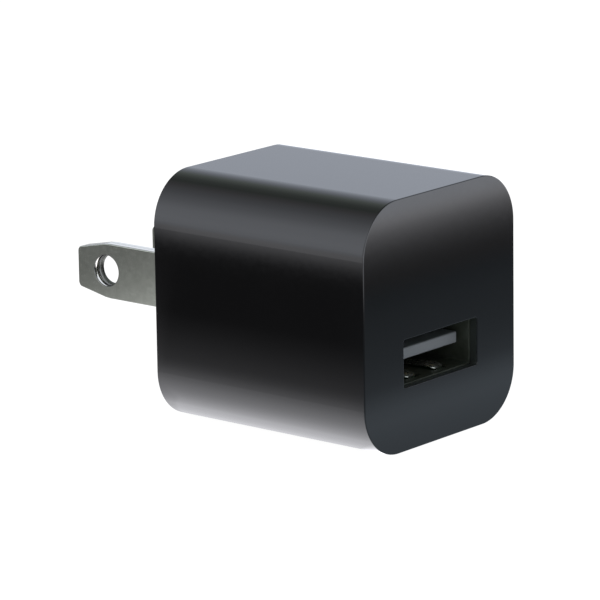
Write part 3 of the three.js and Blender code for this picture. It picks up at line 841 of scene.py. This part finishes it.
def build_usb_contacts(material):
    """One stamped strip per contact, from its curled tip to its solder tail."""
    root_y, root_z = CONTACT_ROOT
    line = [
        (-26.2, root_z - 0.12),
        (-25.9, root_z - 0.36),
        (-25.2, root_z - 0.72),
        (-24.4, root_z - 0.76),
        (-22.6, root_z - 0.5),
        (-20.2, root_z - 0.16),
        (root_y, root_z),
        (-17.0, root_z),
        (-15.8, root_z),
        (-15.5, root_z - 0.35),
        (-15.45, root_z - 1.5),
        (-15.45, -7.0),
        (-15.45, -9.55),
    ]
    widths = [(0.0, 0.8), (0.04, 1.0), (0.5, 1.0), (0.6, 0.8), (0.85, 0.8), (0.9, 0.6), (1.0, 0.5)]
    for number, x in enumerate(CONTACT_X, 1):
        name = f"usb_contact_strip_{number}"
        piece = build_strip(name, line, x, widths, CONTACT_THICKNESS, material, 90)
        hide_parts(f"usb_contact_spring_{number}", f"usb_contact_tail_{number}")
        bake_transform(piece)


def build_shell_fingers(material):
    """The four fingers cut out of the receptacle's shell."""
    floor_middle = PORT_Z - SHELL_HEIGHT / 2 + SHEET / 2
    line = [
        (-20.75, floor_middle),
        (-21.2, floor_middle),
        (-21.8, floor_middle + 0.06),
        (-23.8, floor_middle + 0.28),
        (-25.7, floor_middle + 0.42),
        (-26.65, floor_middle + 0.36),
        (-27.3, floor_middle + 0.18),
    ]
    mirrored = [(y, 2 * PORT_Z - z) for y, z in line]
    widths = [(0.0, 2.2), (0.6, 2.1), (0.9, 1.8), (1.0, 1.3)]
    for level, points in (("lower", line), ("upper", mirrored)):
        for hand, side in (("left", -1), ("right", 1)):
            x = side * FINGER_X
            name = f"{level}_{hand}_shell_finger"
            piece = build_strip(name, points, x, widths, FINGER_THICKNESS, material, 40)
            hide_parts(f"{level}_{hand}_shell_spring")
            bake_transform(piece)


# ---------------------------------------------------------------- studio

FLOOR_GLOW = 0.97
FLOOR_HALF_SIZE = 6000.0
FLOOR_DROP = 0.02  # the table lies this far under the body, clear of its lowest face
CARD_HALF_SIZE = 4000.0
CARD_DROP = 0.04
FILL = 0.4  # how bright the room is to diffuse surfaces

# Tints of the studio's whites: the whites beside the body, the ones ahead of it, and a faint green one.
PLAIN = (1.0, 1.0, 1.05)
COOL = (0.86, 1.0, 1.14)
SKY_LEFT = (0.96, 1.0, 1.09)
SKY_MIDDLE = (0.88, 1.0, 0.94)
SKY_RIGHT = (0.93, 1.0, 1.14)

# How brightly the table shines into the polished parts, by its distance in millimetres from the body:
# beside it, behind it and in front of it. The last stop stands for the horizon.
BESIDE_BODY = [
    (0.0, 3.25, PLAIN), (3.0, 2.65, PLAIN), (8.0, 2.1, PLAIN), (17.0, 1.38, PLAIN),
    (20.0, 0.72, PLAIN), (22.5, 0.46, PLAIN), (28.0, 0.30, PLAIN), (34.0, 0.17, PLAIN),
    (40.0, 0.085, PLAIN), (62.0, 0.08, PLAIN), (65.0, 0.10, PLAIN), (67.0, 0.15, PLAIN),
    (69.0, 0.27, PLAIN), (71.0, 0.53, PLAIN), (73.0, 0.97, PLAIN), (75.0, 1.24, PLAIN),
    (80.0, 1.40, PLAIN), (140.0, 1.60, PLAIN), (400.0, 1.88, SKY_LEFT), (9000.0, 2.08, SKY_LEFT),
]
BEHIND_BODY = [
    (0.0, 3.0, PLAIN), (8.0, 2.1, PLAIN), (17.0, 1.2, PLAIN), (25.0, 0.72, PLAIN), (31.0, 0.56, PLAIN),
    (39.0, 0.40, PLAIN), (47.0, 0.27, PLAIN), (55.0, 0.185, PLAIN), (65.0, 0.16, PLAIN),
    (75.0, 0.18, PLAIN), (100.0, 0.24, PLAIN), (9000.0, 0.50, PLAIN),
]
IN_FRONT_OF_BODY = [
    (0.0, 0.56, COOL), (4.0, 0.62, COOL), (9.0, 0.70, COOL), (12.0, 0.66, COOL), (15.0, 0.53, COOL),
    (18.5, 0.36, COOL), (25.0, 0.28, COOL), (32.0, 0.24, COOL), (40.0, 0.21, COOL),
    (46.0, 0.17, COOL), (52.0, 0.16, PLAIN), (56.0, 0.21, PLAIN), (60.0, 0.34, PLAIN),
    (62.4, 0.47, PLAIN), (65.0, 0.70, PLAIN), (68.0, 1.02, PLAIN), (70.0, 1.38, PLAIN),
    (73.0, 2.10, PLAIN), (77.0, 2.36, SKY_LEFT), (9000.0, 2.42, SKY_LEFT),
]
# How bright the room is in reflections, by how far a direction points to the right.
SKY_ACROSS = [
    (-1.0, 0.9, PLAIN), (-0.80, 2.22, SKY_LEFT), (-0.65, 2.0, SKY_LEFT), (-0.48, 1.42, SKY_LEFT),
    (-0.26, 0.9, SKY_LEFT),
    (0.0, 0.47, PLAIN), (0.15, 0.32, SKY_MIDDLE), (0.30, 0.36, SKY_MIDDLE), (0.47, 0.54, SKY_MIDDLE),
    (0.62, 0.74, SKY_RIGHT), (0.77, 0.90, SKY_RIGHT),
]
RAMP_TOP = 3.4  # the brightness that white stands for in the ramps
HALF_REACH = 60.0  # the distance that lies halfway along a ramp
# The three stretches of table fade into each other across fans that open away from the body's corners.
BORDER = 0.5
FRONT_FAN = 0.9
REAR_SLOPE = 0.83
REAR_FAN = 0.25
FRONT_CORNER = 0.74
SIDE_REACH = 66.5  # a sideways distance counts as a distance ahead, up to this
SHADE_REACH = 5.5  # how far in under the body the table's light reaches
SHADE_SOFTNESS = 4.0
SHADE_FLOOR = 0.08
HORIZON_DIP = 0.08  # how much dimmer the room is at the horizon than a little above it
HORIZON_BAND = 0.15


def along_ramp(distance):
    """A distance's place on a ramp that holds the whole table: 0 at the body, 1 at the horizon."""
    return distance / (distance + HALF_REACH)


def glow_stops(stops, place):
    """Ramp stops from (where, brightness, tint), as shares of the ramp's top brightness."""
    return [
        (place(where), tuple(glow / RAMP_TOP * part for part in tint))
        for where, glow, tint in stops
    ]


def only_reflected(piece):
    """A studio card that shows in reflections alone."""
    piece.visible_camera = False
    piece.visible_diffuse = False
    piece.visible_shadow = False
    piece.visible_transmission = False


def plane(name, half_size, z):
    """A level square of the studio, centred under the body's wall face."""
    vertices = [
        (-half_size, -half_size, z), (half_size, -half_size, z),
        (half_size, half_size, z), (-half_size, half_size, z),
    ]
    mesh = bpy.data.meshes.new(name)
    mesh.from_pydata([Vector(v) * MM for v in vertices], [], [(0, 1, 2, 3)])
    piece = bpy.data.objects.new(name, mesh)
    bpy.context.scene.collection.objects.link(piece)
    return piece


def build_floor():
    """A plain white table."""
    floor = plane("floor", FLOOR_HALF_SIZE, FLOOR_Z - FLOOR_DROP)
    material, nodes, links, shader = new_material("floor_white")
    shader.inputs["Base Color"].default_value = (0.3, 0.3, 0.3, 1.0)
    shader.inputs["Roughness"].default_value = 0.9
    shader.inputs["Specular IOR Level"].default_value = 0.0
    shader.inputs["Emission Color"].default_value = (1.0, 1.0, 1.0, 1.0)
    shader.inputs["Emission Strength"].default_value = FLOOR_GLOW
    floor.data.materials.append(material)
    floor.visible_glossy = False


def build_table_card():
    """What the polished faces see of the table. Beside, behind and in front of the body it has its own
    falloff each, and it is darkest under the body."""
    card = plane("table_card", CARD_HALF_SIZE, FLOOR_Z - CARD_DROP)
    only_reflected(card)
    material = bpy.data.materials.new("table_card")
    material.use_nodes = True
    nodes = material.node_tree.nodes
    links = material.node_tree.links
    nodes.clear()
    split = nodes.new("ShaderNodeSeparateXYZ")
    links.new(object_coordinates(nodes), split.inputs["Vector"])
    add = calculator(nodes, links)
    x, y = split.outputs["X"], split.outputs["Y"]
    beside = add("SUBTRACT", add("ABSOLUTE", x), BODY_WIDTH / 2 * MM)
    ahead = add("SUBTRACT", FRONT_Y * MM, y)

    def glow(distance, stops):
        clear = add("MAXIMUM", distance, 0.0)
        ramp = ramp_node(nodes, glow_stops(stops, along_ramp))
        links.new(add("DIVIDE", clear, add("ADD", clear, HALF_REACH * MM)), ramp.inputs["Fac"])
        return ramp.outputs["Color"]

    out = add("MAXIMUM", beside, 0.0)

    def fan(slope):
        """A border's width, which grows with the distance from the body."""
        return add("ADD", add("MULTIPLY", out, slope), BORDER * MM)

    past_corner = add("SUBTRACT", y, add("MULTIPLY", out, REAR_SLOPE))
    behind_share = add("DIVIDE", past_corner, fan(REAR_FAN))
    front_share = add("ADD", add("DIVIDE", ahead, fan(FRONT_FAN)), 1.0)
    around = mix_node(nodes, links, behind_share, glow(beside, BESIDE_BODY), glow(y, BEHIND_BODY))
    sideways = add("MINIMUM", add("MULTIPLY", out, FRONT_CORNER), SIDE_REACH * MM)
    reach_ahead = add("MAXIMUM", ahead, sideways)
    table = mix_node(nodes, links, front_share, around, glow(reach_ahead, IN_FRONT_OF_BODY))
    past_rear = add("SUBTRACT", y, SHADE_REACH * MM)
    outside = add("MAXIMUM", beside, add("MAXIMUM", ahead, past_rear))
    inside = add("DIVIDE", add("ADD", outside, SHADE_REACH * MM), SHADE_SOFTNESS * MM)
    lit = add("MINIMUM", add("MAXIMUM", inside, SHADE_FLOOR), 1.0)
    emission = nodes.new("ShaderNodeEmission")
    links.new(add("MULTIPLY", lit, RAMP_TOP), emission.inputs["Strength"])
    links.new(table, emission.inputs["Color"])
    output = nodes.new("ShaderNodeOutputMaterial")
    links.new(emission.outputs["Emission"], output.inputs["Surface"])
    card.data.materials.append(material)


def background(nodes, level):
    """A plain white light from all round."""
    shader = nodes.new("ShaderNodeBackground")
    shader.inputs["Color"].default_value = (1.0, 1.0, 1.0, 1.0)
    shader.inputs["Strength"].default_value = level
    return shader


def build_world():
    """A white room. Reflections see it brightest on the left, and diffuse surfaces see it dimmed."""
    world = bpy.data.worlds.new("studio")
    bpy.context.scene.world = world
    world.use_nodes = True
    nodes = world.node_tree.nodes
    links = world.node_tree.links
    nodes.clear()
    direction = nodes.new("ShaderNodeTexCoord").outputs["Generated"]
    split = nodes.new("ShaderNodeSeparateXYZ")
    links.new(direction, split.inputs["Vector"])
    add = calculator(nodes, links)
    share = add("MULTIPLY", add("ADD", split.outputs["X"], 1.0), 0.5)
    sky = ramp_node(nodes, glow_stops(SKY_ACROSS, lambda across: (across + 1) / 2))
    links.new(share, sky.inputs["Fac"])
    above_horizon = add("MINIMUM", add("DIVIDE", split.outputs["Z"], HORIZON_BAND), 1.0)
    rising = add("MULTIPLY", add("MAXIMUM", above_horizon, 0.0), HORIZON_DIP)
    level = add("MULTIPLY", add("ADD", rising, 1.0 - HORIZON_DIP), RAMP_TOP)
    reflected = background(nodes, RAMP_TOP)
    links.new(level, reflected.inputs["Strength"])
    links.new(sky.outputs["Color"], reflected.inputs["Color"])
    path = nodes.new("ShaderNodeLightPath")
    seen = nodes.new("ShaderNodeMixShader")
    links.new(path.outputs["Is Camera Ray"], seen.inputs["Fac"])
    links.new(background(nodes, FILL).outputs["Background"], seen.inputs[1])
    links.new(background(nodes, 1.0).outputs["Background"], seen.inputs[2])
    mix = nodes.new("ShaderNodeMixShader")
    links.new(path.outputs["Is Glossy Ray"], mix.inputs["Fac"])
    links.new(seen.outputs["Shader"], mix.inputs[1])
    links.new(reflected.outputs["Background"], mix.inputs[2])
    output = nodes.new("ShaderNodeOutputWorld")
    links.new(mix.outputs["Shader"], output.inputs["Surface"])


def build_studio():
    bpy.context.scene.view_settings.view_transform = "Standard"
    build_world()
    build_floor()
    build_table_card()


# ---------------------------------------------------------------- assembly

REFINED_PARTS = [
    # node, slot, bevel in millimetres
    ("usb_shell", "shell_nickel", 0.07),
    ("usb_tongue", "insulator", 0.06),
    ("circuit_board", "board_green", 0.08),
    ("left_blade_contact", "contact_bronze", 0.0),
    ("right_blade_contact", "contact_bronze", 0.0),
    ("transformer_core_upper", "ferrite", 0.15),
    ("transformer_core_lower", "ferrite", 0.15),
    ("transformer_bobbin", "bobbin", 0.1),
    ("transformer_winding", "copper", 0.2),
    ("transformer_tape", "tape_yellow", 0.1),
    ("input_capacitor_1", "sleeve_black", 0.3),
    ("input_capacitor_2", "sleeve_black", 0.3),
    ("output_capacitor", "sleeve_green", 0.3),
    ("input_choke", "choke_sleeve", 0.15),
    ("fuse_resistor", "resistor_body", 0.2),
    ("output_diode", "chip_plastic", 0.15),
    ("safety_capacitor", "ceramic_blue", 0.2),
    ("bridge_rectifier", "chip_plastic", 0.08),
    ("controller_chip", "chip_plastic", 0.08),
    ("snubber_diode", "chip_plastic", 0.08),
    ("snubber_resistor", "chip_ceramic", 0.015),
    ("snubber_capacitor", "chip_ceramic", 0.015),
    ("sense_resistor", "chip_ceramic", 0.015),
    ("supply_capacitor", "chip_ceramic", 0.015),
    ("feedback_resistor_upper", "chip_ceramic", 0.015),
    ("feedback_resistor_lower", "chip_ceramic", 0.015),
    ("output_filter_capacitor", "chip_ceramic", 0.015),
]


def main():
    build_camera()
    build_studio()
    materials = make_materials()
    build_housing(materials["gloss_black"])
    dull_port_walls_and_paint_light(materials["gloss_black"])
    refined("rear_cap", "rear_cap_plate", materials["cap_black"], 0.12)
    for name, side in (("left_blade_sheet", -1), ("right_blade_sheet", 1)):
        build_blade(name, side, materials["blade_nickel"])
    paint_blade_edge_light(materials["blade_nickel"])
    build_usb_contacts(materials["contact_bronze"])
    build_shell_fingers(materials["finger_nickel_painted_highlight"])
    for node, slot_name, bevel in REFINED_PARTS:
        refined(node, f"{node}_fine", materials[slot_name], bevel)


main()
